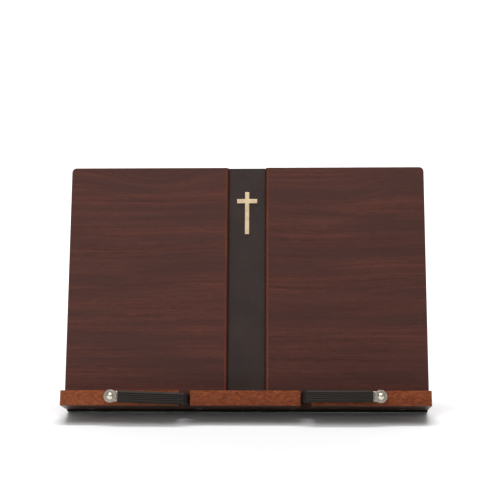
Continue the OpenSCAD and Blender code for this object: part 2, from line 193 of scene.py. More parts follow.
def stretched(tree, vector, scale, offset=(0, 0, 0)):
    """The same place, stretched: a small scale along an axis draws the pattern out along it."""
    return box(tree, "ShaderNodeMapping", {"Vector": vector, "Scale": scale, "Location": offset},
               vector_type="POINT").outputs[0]


def noise(tree, vector, scale=1.0, detail=3.0, rough=0.55, warp=0.0):
    """Smooth random values between 0 and 1."""
    return box(tree, "ShaderNodeTexNoise", {"Vector": vector, "Scale": scale, "Detail": detail,
               "Roughness": rough, "Distortion": warp}).outputs["Fac"]


def board_mm(tree, tilt=lean):
    """Millimetres along the board: x across, y through and z up it."""
    place = box(tree, "ShaderNodeTexCoord").outputs["Object"]
    return box(tree, "ShaderNodeMapping", {"Vector": place, "Rotation": (tilt, 0, 0),
               "Scale": (1 / MM, 1 / MM, 1 / MM)}, vector_type="POINT").outputs[0]


def bumped(tree, shader, height, strength, depth):
    """Raises the surface by a height pattern, depth metres at full strength."""
    relief = box(tree, "ShaderNodeBump", {"Height": height, "Strength": strength, "Distance": depth})
    tree.links.new(relief.outputs[0], shader.inputs["Normal"])


print("shader helpers ready")

# %% [markdown]
# ## Walnut-grained panels
# The panels are boards with a printed walnut face under a satin lacquer. Walnut grain could be
# drawn as wave bands, but bands look like a ruler. Here each point gets a ring number: its
# height up the board, bent by slow noise and by a few cathedral arches. Noise that is drawn out
# along the grain and read at that ring number gives broad streaks, and a finer one gives fibres.

# %% Ring numbers


def ring_number(tree, place, arches, slow=6.0):
    """Height up the board in mm, bent by slow noise and by arches, each one (x, z, half width,
    half height, rise)."""
    split = box(tree, "ShaderNodeSeparateXYZ", {0: place})
    x, z = split.outputs[0], split.outputs[2]
    drift = noise(tree, stretched(tree, place, (0.006, 0.02, 0.014)), detail=2.0)
    ring = sums(tree, "MULTIPLY_ADD", drift, slow, z)
    for arch_x, arch_z, wide, high, rise in arches:
        u = sums(tree, "DIVIDE", sums(tree, "SUBTRACT", x, arch_x), wide)
        v = sums(tree, "DIVIDE", sums(tree, "SUBTRACT", z, arch_z), high)
        reach = sums(tree, "ADD", sums(tree, "MULTIPLY", u, u), sums(tree, "MULTIPLY", v, v))
        swell = sums(tree, "EXPONENT", sums(tree, "MULTIPLY", reach, -1.0))
        ring = sums(tree, "MULTIPLY_ADD", swell, rise, ring)
    return ring, x


print("ring numbers ready")

# %% [markdown]
# ## The walnut's layers
# Five noises lie over each other, each with its own number of changes per millimetre: few along
# the grain and many across it. Broad clouds and streaks set the tone, fibres break it up, the
# peaks of a sharp one are dark pores, and a slow one turns some areas greyer than others.

# %% Walnut face
WALNUT_DARK = (0.052, 0.0160, 0.0110)
WALNUT_MID = (0.086, 0.0265, 0.0190)
WALNUT_WARM = (0.124, 0.0380, 0.0260)
WALNUT_GREY = (0.058, 0.0232, 0.0192)
BROAD = {"scale": (0.0040, 1.0, 0.080)}
STREAK = {"scale": (0.0065, 1.0, 0.36), "offset": (7, 3, 1)}
FIBRE = {"scale": (0.075, 1.0, 2.0), "offset": (3, 9, 5)}
PORE = {"scale": (0.16, 1.0, 4.5), "offset": (5, 1, 8)}
GREYING = {"scale": (0.0055, 1.0, 0.055), "offset": (2, 6, 4)}
STREAK_SHARE, FIBRE_SHARE, GREY_SHARE, PORE_SHARE = 0.64, 0.85, 0.62, 0.6
PORE_STARTS, PORE_FULL, PORE_TONE = 0.60, 0.70, 0.5


def walnut(name, arches, shade=1.0, seed=0.0):
    """A satin walnut face with streaks, fibres and a few dark pores."""
    made, tree, shader = new_material(name)
    place = board_mm(tree)
    ring, x = ring_number(tree, place, arches)
    flat = box(tree, "ShaderNodeCombineXYZ", {0: x, 1: seed, 2: ring}).outputs[0]
    broad = noise(tree, stretched(tree, flat, **BROAD), detail=4.0, rough=0.6)
    streak = noise(tree, stretched(tree, flat, **STREAK), detail=5.0, rough=0.72)
    fibre = noise(tree, stretched(tree, flat, **FIBRE), detail=4.0, rough=0.8)
    pore = noise(tree, stretched(tree, flat, **PORE), detail=1.5)
    greying = noise(tree, stretched(tree, flat, **GREYING), detail=3.0)
    grain = sums(tree, "MULTIPLY", broad, 1 - STREAK_SHARE)
    grain = sums(tree, "MULTIPLY_ADD", streak, STREAK_SHARE, grain)
    grain = sums(tree, "MULTIPLY_ADD", sums(tree, "SUBTRACT", fibre, 0.5), FIBRE_SHARE, grain)
    dark, mid, warm, grey = [tuple(c * shade for c in colour) for colour in (
        WALNUT_DARK, WALNUT_MID, WALNUT_WARM, WALNUT_GREY)]
    face = ramp(tree, grain, (0.33, dark), (0.47, mid), (0.62, warm))
    greyer = mixed(tree, GREY_SHARE, face, grey)
    warmth = ramp(tree, greying, (0.42, (1, 1, 1)), (0.58, (0, 0, 0)))
    face = mixed(tree, warmth, face, greyer)
    pores = box(tree, "ShaderNodeMapRange", {
        "Value": pore, "From Min": PORE_STARTS, "From Max": PORE_FULL,
        "To Max": PORE_SHARE}).outputs[0]
    face = mixed(tree, pores, face, [c * PORE_TONE for c in dark])
    tree.links.new(face, shader.inputs["Base Color"])
    satin = sums(tree, "MULTIPLY_ADD", fibre, 0.10, 0.40)
    tree.links.new(satin, shader.inputs["Roughness"])
    shader.inputs["Specular IOR Level"].default_value = 0.25
    bumped(tree, shader, fibre, strength=0.18, depth=0.2 * MM)
    return made


top_mm = (board_frame @ Vector((0, 0, panel_high.z))).dot(board_up) / MM
left_walnut = walnut("walnut_left", arches=[
    (-92, top_mm - 2, 42, 22, 22), (-40, top_mm - 96, 60, 34, -5)])
right_walnut = walnut("walnut_right", arches=[
    (150, top_mm - 14, 32, 20, -9), (70, top_mm - 110, 60, 40, 5)], shade=0.93, seed=4.0)
back_walnut = walnut("walnut_back", arches=[(20, top_mm - 80, 70, 50, 14)], shade=0.8, seed=9.0)
print("walnut faces made; the board's top edge is", round(top_mm, 1), "mm up its own slope")

# %% [markdown]
# ## Solid stained wood
# The ledge, the leg and its block are solid hardwood with an orange-brown stain. Solid wood of
# this kind shows short dark pores like pencil dashes, and a cloudy change of tone. The dashes
# are noise drawn out along the grain and cut off at a threshold, so only its peaks show.

# %% Solid wood finish
CLOUD_PER_MM, FIGURE_PER_MM = 0.05, 0.42
DASH_PER_MM = {"along": 0.30, "across": 2.3}
FIBRE_PER_MM = {"along": 0.08, "across": 4.5}
CLOUD_SHARE, FINE_SHARE, DRAWN_OUT = 0.45, 0.25, 0.06
DASH_STARTS, DASH_SHARPNESS, DASH_SHARE, DASH_TONE = 0.57, 9.0, 0.8, 0.35


def solid_wood(name, dark, mid, light, along="X", tilt=lean, seed=0.0, fleck=DRAWN_OUT,
               painted_light_by_height=None, painted_channel_shade=None):
    """Stained hardwood with pore dashes. along is the grain's axis in the tilted frame, fleck
    is the figure's scale along the grain as a share of its scale across it. The option given as
    (bottom, top, change) paints light and shade, lighter upwards and darker downwards, and the
    one given as (start, end, share) paints shade, darker further back into a recess."""
    made, tree, shader = new_material(name)
    place = board_mm(tree, tilt)

    def drawn(lengthways, crossways):
        """The place, with one scale along the grain and another across it."""
        scale = [lengthways if axis == along else crossways for axis in "XYZ"]
        return stretched(tree, place, scale, offset=(seed, seed * 2, seed * 3))

    cloud = noise(tree, drawn(DRAWN_OUT * CLOUD_PER_MM, CLOUD_PER_MM), detail=3.0)
    figure = noise(tree, drawn(fleck * FIGURE_PER_MM, FIGURE_PER_MM), detail=4.0, rough=0.6,
                   warp=0.6)
    dash = noise(tree, drawn(DASH_PER_MM["along"], DASH_PER_MM["across"]), detail=1.5)
    fibre = noise(tree, drawn(FIBRE_PER_MM["along"], FIBRE_PER_MM["across"]), detail=2.0)
    tone = sums(tree, "MULTIPLY", figure, 1 - CLOUD_SHARE)
    tone = sums(tree, "MULTIPLY_ADD", cloud, CLOUD_SHARE, tone)
    # Painted light and shade: the tone rises towards the top of the given range and falls towards
    # its bottom, as light from above would make it.
    if painted_light_by_height:
        bottom, top, change = painted_light_by_height
        height = box(tree, "ShaderNodeMapRange", {
            "Value": box(tree, "ShaderNodeSeparateXYZ", {0: place}).outputs[2],
            "From Min": bottom, "From Max": top, "To Min": -change, "To Max": change}).outputs[0]
        tone = sums(tree, "ADD", tone, height)
    tone = sums(tree, "MULTIPLY_ADD", sums(tree, "SUBTRACT", fibre, 0.5), FINE_SHARE, tone)
    face = ramp(tree, tone, (0.36, dark), (0.50, mid), (0.63, light))
    peaks = sums(tree, "MULTIPLY", sums(tree, "SUBTRACT", dash, DASH_STARTS), DASH_SHARPNESS)
    dashes = sums(tree, "SMOOTH_MIN", sums(tree, "MAXIMUM", peaks, 0.0), DASH_SHARE, 0.1)
    face = mixed(tree, dashes, face, [c * DASH_TONE for c in dark])
    # Painted shade: further back into the board the colour darkens to a share of the middle tone.
    # This stands for the shade inside the channel.
    if painted_channel_shade:
        start, end, share = painted_channel_shade
        back = box(tree, "ShaderNodeSeparateXYZ", {0: place}).outputs[1]
        depth = box(tree, "ShaderNodeMapRange", {
            "Value": back, "From Min": start, "From Max": end}).outputs[0]
        face = mixed(tree, depth, face, [c * share for c in mid])
    tree.links.new(face, shader.inputs["Base Color"])
    tree.links.new(sums(tree, "MULTIPLY_ADD", dashes, 0.2, 0.36), shader.inputs["Roughness"])
    shader.inputs["Specular IOR Level"].default_value = 0.30
    height = sums(tree, "MULTIPLY_ADD", dashes, -1.0, fibre)
    bumped(tree, shader, height, strength=0.25, depth=0.25 * MM)
    return made


ledge_low, ledge_high = corners("ledge", board_frame)
ledge_ends = [(board_frame @ place).dot(board_up) / MM for place in (ledge_low, ledge_high)]
# The ledge's face is painted lighter towards its top and darker towards its bottom: painted light
# and shade.
ledge_wood = solid_wood("ledge_stain", (0.110, 0.020, 0.005), (0.225, 0.050, 0.013),
                        (0.330, 0.090, 0.026), seed=2.0, fleck=0.45, painted_light_by_height=(*ledge_ends, 0.035))
# The ledge's underside and notch faces: a near-black painted shade for the shade under the ledge and
# in its notches.
ledge_painted_shade = solid_wood("painted_shade_under_ledge", (0.030, 0.010, 0.004), (0.050, 0.017, 0.008),
                         (0.075, 0.026, 0.012), seed=6.0)
BACK_STAIN = (0.100, 0.021, 0.007), (0.190, 0.045, 0.014), (0.270, 0.078, 0.026)
leg_open = math.radians(joints["leg_fold"]["range_deg"][1])
leg_wood = solid_wood("leg_stain", *BACK_STAIN, along="Z", tilt=lean - leg_open, seed=5.0)
block_wood = solid_wood("block_stain", *BACK_STAIN, seed=8.0)
# The panels' sides: an orange-brown stain, with painted shade that darkens them further into the
# channel between the panels.
front_mm = (board_frame @ panel_low).dot(board_back) / MM
panel_edge = solid_wood("panel_edge_stain_and_shade", (0.095, 0.023, 0.010), (0.142, 0.036, 0.016),
                        (0.185, 0.050, 0.023), along="Z", seed=3.0,
                        painted_channel_shade=(front_mm + 0.2, front_mm + 1.5, 0.28))
print("stains made:", ", ".join(each.name for each in (
    ledge_wood, ledge_painted_shade, leg_wood, block_wood, panel_edge)))

# %% [markdown]
# ## Rubber, laminate and plastic
# These are dark and matt, and a flat black would look like a hole. A fine grain in the bump and
# a little change of roughness let the light break up over them.

# %% Matt finishes
GRAIN_SPREAD = 0.16


def matt(name, colour, rough, grain_mm, depth, patch=0.25, gloss=0.22):
    """A matt finish with a fine grain of the given size. patch is how far its tone wanders."""
    made, tree, shader = new_material(name)
    place = board_mm(tree)
    grain = noise(tree, place, scale=1.0 / grain_mm, detail=3.0, rough=0.6)
    cloud = noise(tree, place, scale=0.03, detail=2.0)
    lighter = [c * (1 + patch) for c in colour]
    darker = [c * (1 - patch) for c in colour]
    blend = sums(tree, "MULTIPLY_ADD", cloud, 0.5, sums(tree, "MULTIPLY", grain, 0.5))
    tree.links.new(ramp(tree, blend, (0.3, darker), (0.7, lighter)), shader.inputs["Base Color"])
    dulled = sums(tree, "MULTIPLY_ADD", grain, GRAIN_SPREAD, rough - GRAIN_SPREAD / 2)
    tree.links.new(dulled, shader.inputs["Roughness"])
    shader.inputs["Specular IOR Level"].default_value = gloss
    bumped(tree, shader, grain, strength=0.35, depth=depth)
    return made


strip_laminate = matt("strip_laminate", (0.0385, 0.0258, 0.0230), rough=0.52, grain_mm=1.2,
                      depth=0.3 * MM, patch=0.28)
sleeve_rubber = matt("sleeve_rubber", (0.0130, 0.0086, 0.0062), rough=0.45, grain_mm=0.35,
                     depth=0.05 * MM, gloss=0.25)
foot_rubber = matt("foot_rubber", (0.0120, 0.0115, 0.0110), rough=0.75, grain_mm=0.45,
                   depth=0.10 * MM)
rack_plastic = matt("rack_plastic", (0.0180, 0.0175, 0.0170), rough=0.45, grain_mm=0.60,
                    depth=0.08 * MM)
print("matt finishes made")

# %% [markdown]
# ## Metals
# Nickel plate on the pivots is a warm near-mirror. The hinge, the stay and the screws are plated
# steel with a finer brushed look. Small rubs and polishing marks are noise in the roughness: a
# metal with one even roughness looks like plastic.

# %% Metal finishes
DULLED = 0.86


def metal(name, colour, rough, spread, brushed=(1.0, 1.0, 1.0), depth=0.02 * MM):
    """A plated metal. spread is how far its roughness wanders, and brushed draws the marks out
    along one direction."""
    made, tree, shader = new_material(name)
    place = board_mm(tree)
    marks = noise(tree, stretched(tree, place, brushed), scale=1.6, detail=4.0, rough=0.65)
    cloud = noise(tree, place, scale=0.12, detail=2.0)
    dull = [c * DULLED for c in colour]
    tree.links.new(ramp(tree, cloud, (0.35, dull), (0.6, colour)), shader.inputs["Base Color"])
    shader.inputs["Metallic"].default_value = 1.0
    tree.links.new(sums(tree, "MULTIPLY_ADD", marks, spread, rough - spread / 2),
                   shader.inputs["Roughness"])
    bumped(tree, shader, marks, strength=0.2, depth=depth)
    return made


nickel = metal("nickel_plate", (0.84, 0.78, 0.68), rough=0.22, spread=0.10)
plate_nickel = metal("plate_nickel", (0.72, 0.66, 0.57), rough=0.26, spread=0.12,
                     depth=0.004 * MM)
hinge_nickel = metal("hinge_nickel", (0.66, 0.64, 0.60), rough=0.30, spread=0.20,
                     brushed=(0.2, 2.0, 2.0))
zinc_steel = metal("zinc_steel", (0.60, 0.61, 0.62), rough=0.34, spread=0.22,
                   brushed=(0.6, 2.0, 0.6))
screw_steel = metal("screw_steel", (0.52, 0.52, 0.51), rough=0.38, spread=0.22)
cross_gold = metal("cross_gold", (0.94, 0.735, 0.485), rough=0.50, spread=0.14)
print("metal finishes made")

# %% [markdown]
# ## Wooden pieces with eased edges
# A joiner runs sandpaper along every edge, so no edge of the stand is knife sharp, and it is
# that narrow round that catches the light. The mesh of each wooden part is copied, its loose
# triangles are merged into whole faces, and the sharp edges are then bevelled. The alternative,
# a bevel shader, would leave the outline of the exported mesh sharp.

# %% Bevelled copies
MERGE_GAP = 0.001 * MM
FLAT_ANGLE = math.radians(0.6)
SHARP_ANGLE = math.radians(35.0)


def merged_copy(node):
    """A copy of a node's mesh with its triangles merged into whole faces, as a bmesh."""
    shape = bmesh.new()
    shape.from_mesh(frame["nodes"][node].data)
    bmesh.ops.remove_doubles(shape, verts=shape.verts, dist=MERGE_GAP)
    bmesh.ops.dissolve_limit(shape, angle_limit=FLAT_ANGLE, verts=shape.verts, edges=shape.edges)
    return shape


def eased(node, width, finish, steps=3, cut=None):
    """A bevelled copy of a node that takes its place. cut = (test of a face, second finish)."""
    shape = merged_copy(node)
    keen = [e for e in shape.edges if e.is_manifold and e.calc_face_angle(0) > SHARP_ANGLE]
    bmesh.ops.bevel(shape, geom=keen, offset=width, segments=steps, profile=0.5,
                    affect="EDGES", clamp_overlap=True, harden_normals=False)
    bmesh.ops.recalc_face_normals(shape, faces=shape.faces)
    return finished(shape, node, finish, cut)


def finished(shape, node, finish, cut=None):
    """Turns a bmesh into a smooth-shaded piece that replaces a node and rides on its body."""
    mesh = bpy.data.meshes.new(node + "_made")
    finishes = [finish, cut[1]] if cut else [finish]
    for each in finishes:
        mesh.materials.append(each)
    for face in shape.faces:
        face.smooth = True
        face.material_index = int(bool(cut and cut[0](face)))
    shape.to_mesh(mesh)
    shape.free()
    piece = bpy.data.objects.new(node + "_made", mesh)
    bpy.context.collection.objects.link(piece)
    weighted = piece.modifiers.new("flat faces stay flat", "WEIGHTED_NORMAL")
    weighted.keep_sharp = True
    weighted.weight = 100
    return placed(piece, node)


def placed(piece, node):
    """The calls that each finished piece needs."""
    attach(piece, body_of(node))
    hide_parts(node)
    return piece


print("edges sharper than", round(math.degrees(SHARP_ANGLE)), "degrees get a bevel")

# %% [markdown]
# ## Two finishes on one board
# A panel's sides are bare wood with a redder stain, and they darken further into the channel as
# painted shade. The ledge's underside and every face cut into it get a near-black finish, a
# painted shade for the shade under the ledge and in its notches. A test of each face picks
# between the two finishes of such a piece.

# %% Wooden pieces
BROAD_FACE = 0.985
# How far inside the ledge's outer box a face must lie to get the painted shade.
OUTER_SKIN = 1.2 * MM


def is_edge(face):
    """True for a panel's narrow sides, and false for its two broad faces."""
    return abs(face.normal.dot(board_back)) < BROAD_FACE


def is_in_painted_shade(face):
    """True for the ledge's underside, and for every face cut into the ledge: the faces painted
    near-black as shade.
    """
    centre = board_frame.inverted() @ face.calc_center_median()
    below_skin = min(ledge_high.x - abs(centre.x), centre.y - ledge_low.y,
                     ledge_high.y - centre.y, ledge_high.z - centre.z)
    return below_skin > OUTER_SKIN


for node, width_mm, finish, slot_name, cut in (
    ("left_panel", 0.7, left_walnut, "panel_wood", (is_edge, panel_edge)),
    ("right_panel", 0.7, right_walnut, "panel_wood", (is_edge, panel_edge)),
    ("back_board", 0.8, back_walnut, "panel_wood", None),
    ("ledge", 0.9, ledge_wood, "ledge_wood", (is_in_painted_shade, ledge_painted_shade)),
    ("hinge_block", 1.6, block_wood, "leg_wood", None),
    ("rear_leg", 1.6, leg_wood, "leg_wood", None),
    ("left_bore_plug", 0.4, ledge_wood, "ledge_wood", None),
    ("right_bore_plug", 0.4, ledge_wood, "ledge_wood", None),
):
    piece = eased(node, width_mm * MM, finish, cut=cut)
    print(node, "eased by", width_mm, "mm:", len(piece.data.polygons), "faces")

# %% [markdown]
# ## Other bevelled pieces
# The strip, the cross, the rubber feet, the hinge leaves and the rack are cut from sheet or
# moulded, and their edges are finer than the joiner's. The turned pieces already have the right
# shape, so they only get a finish.

# %% Sheet, moulded and turned pieces
for node, width_mm, finish, slot_name in (
    ("cross", 0.22, cross_gold, "pale_gold"),
    ("foot_strip", 0.4, foot_rubber, "foot_rubber"),
    ("leg_foot_pad", 0.6, foot_rubber, "foot_rubber"),
    ("catch_rack", 0.3, rack_plastic, "rack_plastic"),
    ("hinge_block_leaf", 0.25, hinge_nickel, "hinge_nickel"),
    ("hinge_leg_leaf", 0.25, hinge_nickel, "hinge_nickel"),
    ("left_holder_plate", 0.22, plate_nickel, "nickel"),
    ("right_holder_plate", 0.22, plate_nickel, "nickel"),
):
    piece = eased(node, width_mm * MM, finish, steps=2)
    print(node, "eased by", width_mm, "mm:", len(piece.data.polygons), "faces")

for node, finish in {
    "centre_strip": strip_laminate, "left_pivot_pin": nickel, "right_pivot_pin": nickel,
    "left_spacer": plate_nickel, "right_spacer": plate_nickel, "left_spring_collar": zinc_steel,
    "right_spring_collar": zinc_steel, "hinge_pin": zinc_steel,
}.items():
    frame["nodes"][node].data.materials[0] = finish
print("turned pieces and the strip have their finishes")

# %% [markdown]
# ## Geometry Nodes: a bench for small trees
# Ribs, coils, bent wire and screws repeat a shape or follow a path. A Geometry Nodes tree states
# that rule once, with its sizes as named inputs. Each tree ends in Realize Instances and Set
# Material, and its result is turned into a plain mesh, because instances don't leave Blender.

# %% Tree helpers
CRISP_ANGLE = math.radians(30)


def new_tree(name, numbers):
    """A geometry tree with named number inputs: (tree, input box, output box)."""
    tree = bpy.data.node_groups.new(name, "GeometryNodeTree")
    tree.interface.new_socket("Path", in_out="INPUT", socket_type="NodeSocketGeometry")
    tree.interface.new_socket("Shape", in_out="OUTPUT", socket_type="NodeSocketGeometry")
    for label, kind in numbers:
        tree.interface.new_socket(label, in_out="INPUT", socket_type="NodeSocket" + kind)
    tree.interface.new_socket("Finish", in_out="INPUT", socket_type="NodeSocketMaterial")
    return tree, tree.nodes.new("NodeGroupInput"), tree.nodes.new("NodeGroupOutput")


def end_tree(tree, given, out, geometry, crisp=False):
    """Ends a tree as every tree here ends. crisp keeps sharp corners sharp."""
    real = box(tree, "GeometryNodeRealizeInstances", {"Geometry": geometry})
    dressed = box(tree, "GeometryNodeSetMaterial", {
        "Geometry": real.outputs[0], "Material": given.outputs["Finish"]})
    smooth = box(tree, "GeometryNodeSetShadeSmooth", {"Geometry": dressed.outputs[0]})
    last = smooth
    if crisp:
        angle = tree.nodes.new("GeometryNodeInputMeshEdgeAngle").outputs[0]
        keen = sums(tree, "GREATER_THAN", angle, CRISP_ANGLE)
        last = box(tree, "GeometryNodeSetShadeSmooth", {
            "Geometry": last.outputs[0], "Selection": keen, "Shade Smooth": False}, domain="EDGE")
    tree.links.new(last.outputs[0], out.inputs["Shape"])
    return tree


def grown(tree, points, edges, sizes, home, name, flip=False, marks=None):
    """Runs a tree on a path of points, and returns the result as a plain mesh at its place."""
    seed = bpy.data.meshes.new(name)
    seed.from_pydata([Vector(p) for p in points], edges, [])
    for label, values in (marks or {}).items():
        seed.attributes.new(label, "FLOAT", "POINT").data.foreach_set("value", values)
    carrier = bpy.data.objects.new(name, seed)
    bpy.context.collection.objects.link(carrier)
    modifier = carrier.modifiers.new(tree.name, "NODES")
    modifier.node_group = tree
    for item in tree.interface.items_tree:
        if item.in_out == "INPUT" and item.name in sizes:
            modifier[item.identifier] = sizes[item.name]
    ready = carrier.evaluated_get(bpy.context.evaluated_depsgraph_get())
    mesh = bpy.data.meshes.new_from_object(ready)
    carrier.modifiers.clear()
    mesh.transform(home)
    if flip:
        mesh.flip_normals()
    carrier.data = mesh
    return carrier


def chain(count):
    """The edges of an open path of points."""
    return [(i, i + 1) for i in range(count - 1)]


print("tree helpers ready")

# %% [markdown]
# ## Ribbed rubber sleeves
# Each sleeve is a moulded rubber boot over the arm, with ribs that run its whole length and
# follow the bend back to the tip. The path is three points with a filleted corner. The body is a
# rounded rectangle swept along it, and the ribs are copies of the same path, each shifted up by
# the rib pitch and out to the face, swept with a small circle.

# %% The sleeve's tree
RIB_SUNK = 0.45


def sleeve_tree():
    """A rounded bar along a filleted path, with ribs on its outer face."""
    tree, given, out = new_tree("ribbed sleeve", [
        ("Bend radius", "Float"), ("Height", "Float"), ("Thickness", "Float"),
        ("Edge radius", "Float"), ("Ribs", "Int"), ("Rib pitch", "Float"), ("Rib radius", "Float")])
    size = given.outputs
    path = box(tree, "GeometryNodeMeshToCurve", {"Mesh": size["Path"]}).outputs[0]
    bent = box(tree, "GeometryNodeFilletCurve", {
        "Curve": path, "Count": 10, "Radius": size["Bend radius"]}, mode="POLY").outputs[0]
    upright = box(tree, "GeometryNodeSetCurveNormal", {"Curve": bent}, mode="Z_UP").outputs[0]
    core = box(tree, "GeometryNodeCurvePrimitiveQuadrilateral", {
        "Width": size["Thickness"], "Height": size["Height"]}).outputs[0]
    core = box(tree, "GeometryNodeFilletCurve", {
        "Curve": core, "Count": 5, "Radius": size["Edge radius"]}, mode="POLY").outputs[0]
    body = box(tree, "GeometryNodeCurveToMesh", {
        "Curve": upright, "Profile Curve": core, "Fill Caps": True}).outputs[0]
    copies = box(tree, "GeometryNodeDuplicateElements", {
        "Geometry": upright, "Amount": size["Ribs"]}, domain="SPLINE")
    middle = sums(tree, "MULTIPLY", sums(tree, "SUBTRACT", size["Ribs"], 1.0), 0.5)
    step = sums(tree, "SUBTRACT", copies.outputs["Duplicate Index"], middle)
    rise = sums(tree, "MULTIPLY", step, size["Rib pitch"])
    tangent = tree.nodes.new("GeometryNodeInputTangent").outputs[0]
    outward = box(tree, "ShaderNodeVectorMath", {0: tangent, 1: (0, 0, 1)},
                  operation="CROSS_PRODUCT").outputs[0]
    reach = sums(tree, "SUBTRACT", sums(tree, "MULTIPLY", size["Thickness"], 0.5),
                 sums(tree, "MULTIPLY", size["Rib radius"], RIB_SUNK))
    aside = box(tree, "ShaderNodeVectorMath", {0: outward, "Scale": reach}, operation="SCALE")
    lifted = box(tree, "ShaderNodeCombineXYZ", {2: rise})
    shift = box(tree, "ShaderNodeVectorMath", {0: aside.outputs[0], 1: lifted.outputs[0]},
                operation="ADD")
    lines = box(tree, "GeometryNodeSetPosition", {
        "Geometry": copies.outputs[0], "Offset": shift.outputs[0]}).outputs[0]
    bead = box(tree, "GeometryNodeCurvePrimitiveCircle", {
        "Resolution": 10, "Radius": size["Rib radius"]}).outputs[0]
    ribs = box(tree, "GeometryNodeCurveToMesh", {
        "Curve": lines, "Profile Curve": bead, "Fill Caps": True}).outputs[0]
    joined = tree.nodes.new("GeometryNodeJoinGeometry")
    tree.links.new(body, joined.inputs[0])
    tree.links.new(ribs, joined.inputs[0])
    return end_tree(tree, given, out, joined.outputs[0])


sleeve_rule = sleeve_tree()
print("sleeve tree has", len(sleeve_rule.nodes), "boxes")

# %% [markdown]
# ## The arms' own frames
# Both arms are the same part, one turned over. In an arm's frame x runs from the pivot along the
# arm, y runs back through the ledge and z runs up. The left arm hangs a little below level.

# %% Sleeves in place
ARM_FRAMES = {
    "right": frame_at(right_pivot, (1, 0, 0), board_back) @ Matrix.Diagonal((-1, 1, 1, 1)),
    "left": frame_at(left_pivot, (1, 0, 0), board_back) @ Matrix.Rotation(droop, 4, "Y"),
}
RIB_COUNT = 5
RIB_RADIUS = 0.95 * MM
RIB_PROUD = (1 - RIB_SUNK) * RIB_RADIUS
RIB_MARGIN = 1.0 * MM
SLEEVE_GAP = 0.5 * MM
TIP_BEND = 4.6 * MM
SLEEVE_ROUND = 1.1 * MM
for side, home in ARM_FRAMES.items():
    low, high = corners(side + "_holder_sleeve", home)
    tall = high.z - low.z
    skin = -SLEEVE_GAP - low.y - RIB_PROUD
    mid_y = -SLEEVE_GAP - skin / 2
    tip_x = high.x - RIB_PROUD - skin / 2
    path = [(low.x, mid_y, 0), (tip_x, mid_y, 0), (tip_x, high.y, 0)]
    piece = grown(sleeve_rule, path, chain(len(path)), {
        "Bend radius": TIP_BEND, "Height": tall, "Thickness": skin, "Edge radius": SLEEVE_ROUND,
        "Ribs": RIB_COUNT, "Rib pitch": (tall - 2 * RIB_MARGIN) / RIB_COUNT,
        "Rib radius": RIB_RADIUS, "Finish": sleeve_rubber,
    }, home, side + "_sleeve_made", flip=side == "right")
    placed(piece, side + "_holder_sleeve")

# %% [markdown]
# ## Springs
# Behind each pivot a compression spring pulls the arm back against the ledge. A coil is a spiral
# line swept with a circle. Geometry Nodes has the spiral ready, with its turns as an input.

# %% Coils


def spring_tree():
    """A round wire wound into a coil of constant radius, along +z of its own frame."""
    tree, given, out = new_tree("spring coil", [
        ("Turns", "Float"), ("Coil radius", "Float"), ("Length", "Float"), ("Wire radius", "Float")])
    size = given.outputs
    coil = box(tree, "GeometryNodeCurveSpiral", {
        "Resolution": 28, "Rotations": size["Turns"], "Start Radius": size["Coil radius"],
        "End Radius": size["Coil radius"], "Height": size["Length"]}).outputs[0]
    wire = box(tree, "GeometryNodeCurvePrimitiveCircle", {
        "Resolution": 10, "Radius": size["Wire radius"]}).outputs[0]
    swept = box(tree, "GeometryNodeCurveToMesh", {
        "Curve": coil, "Profile Curve": wire, "Fill Caps": True}).outputs[0]
    return end_tree(tree, given, out, swept)


coil_rule = spring_tree()
print("coil tree has", len(coil_rule.nodes), "boxes")

# %% Springs in place
SPRING_WIRE = 0.45 * MM
SPRING_TURNS = 6.0
for side, pivot in (("left", left_pivot), ("right", right_pivot)):
    home = frame_at(pivot, (1, 0, 0), board_back)
    low, high = corners(side + "_spring", home)
    along = home @ Matrix.Translation((0, low.y + SPRING_WIRE, 0)) @ Matrix.Rotation(
        math.radians(-90), 4, "X")
    piece = grown(coil_rule, [(0, 0, 0)], [], {
        "Turns": SPRING_TURNS, "Coil radius": high.x - SPRING_WIRE,
        "Length": high.y - low.y - 2 * SPRING_WIRE, "Wire radius": SPRING_WIRE,
        "Finish": zinc_steel}, along, side + "_spring_made")
    placed(piece, side + "_spring")
    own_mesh(piece)

# %% [markdown]
# ## The wire stay
# The stay is one round bar bent into a U, with both ends turned in to the leg. A swept circle
# along a filleted path gives true bends, and the path's corners come from the measured part.

# %% Bent wire


def wire_tree():
    """A round wire along a path, with a bend of its own at every corner."""
    tree, given, out = new_tree("bent wire", [("Wire radius", "Float")])
    size = given.outputs
    path = box(tree, "GeometryNodeMeshToCurve", {"Mesh": size["Path"]}).outputs[0]
    bend = box(tree, "GeometryNodeInputNamedAttribute", {"Name": "bend"}, data_type="FLOAT")
    bent = box(tree, "GeometryNodeFilletCurve", {
        "Curve": path, "Count": 10, "Radius": bend.outputs[0]}, mode="POLY").outputs[0]
    ring = box(tree, "GeometryNodeCurvePrimitiveCircle", {
        "Resolution": 20, "Radius": size["Wire radius"]}).outputs[0]
    swept = box(tree, "GeometryNodeCurveToMesh", {
        "Curve": bent, "Profile Curve": ring, "Fill Caps": True}).outputs[0]
    return end_tree(tree, given, out, swept)


wire_rule = wire_tree()
print("wire tree has", len(wire_rule.nodes), "boxes")

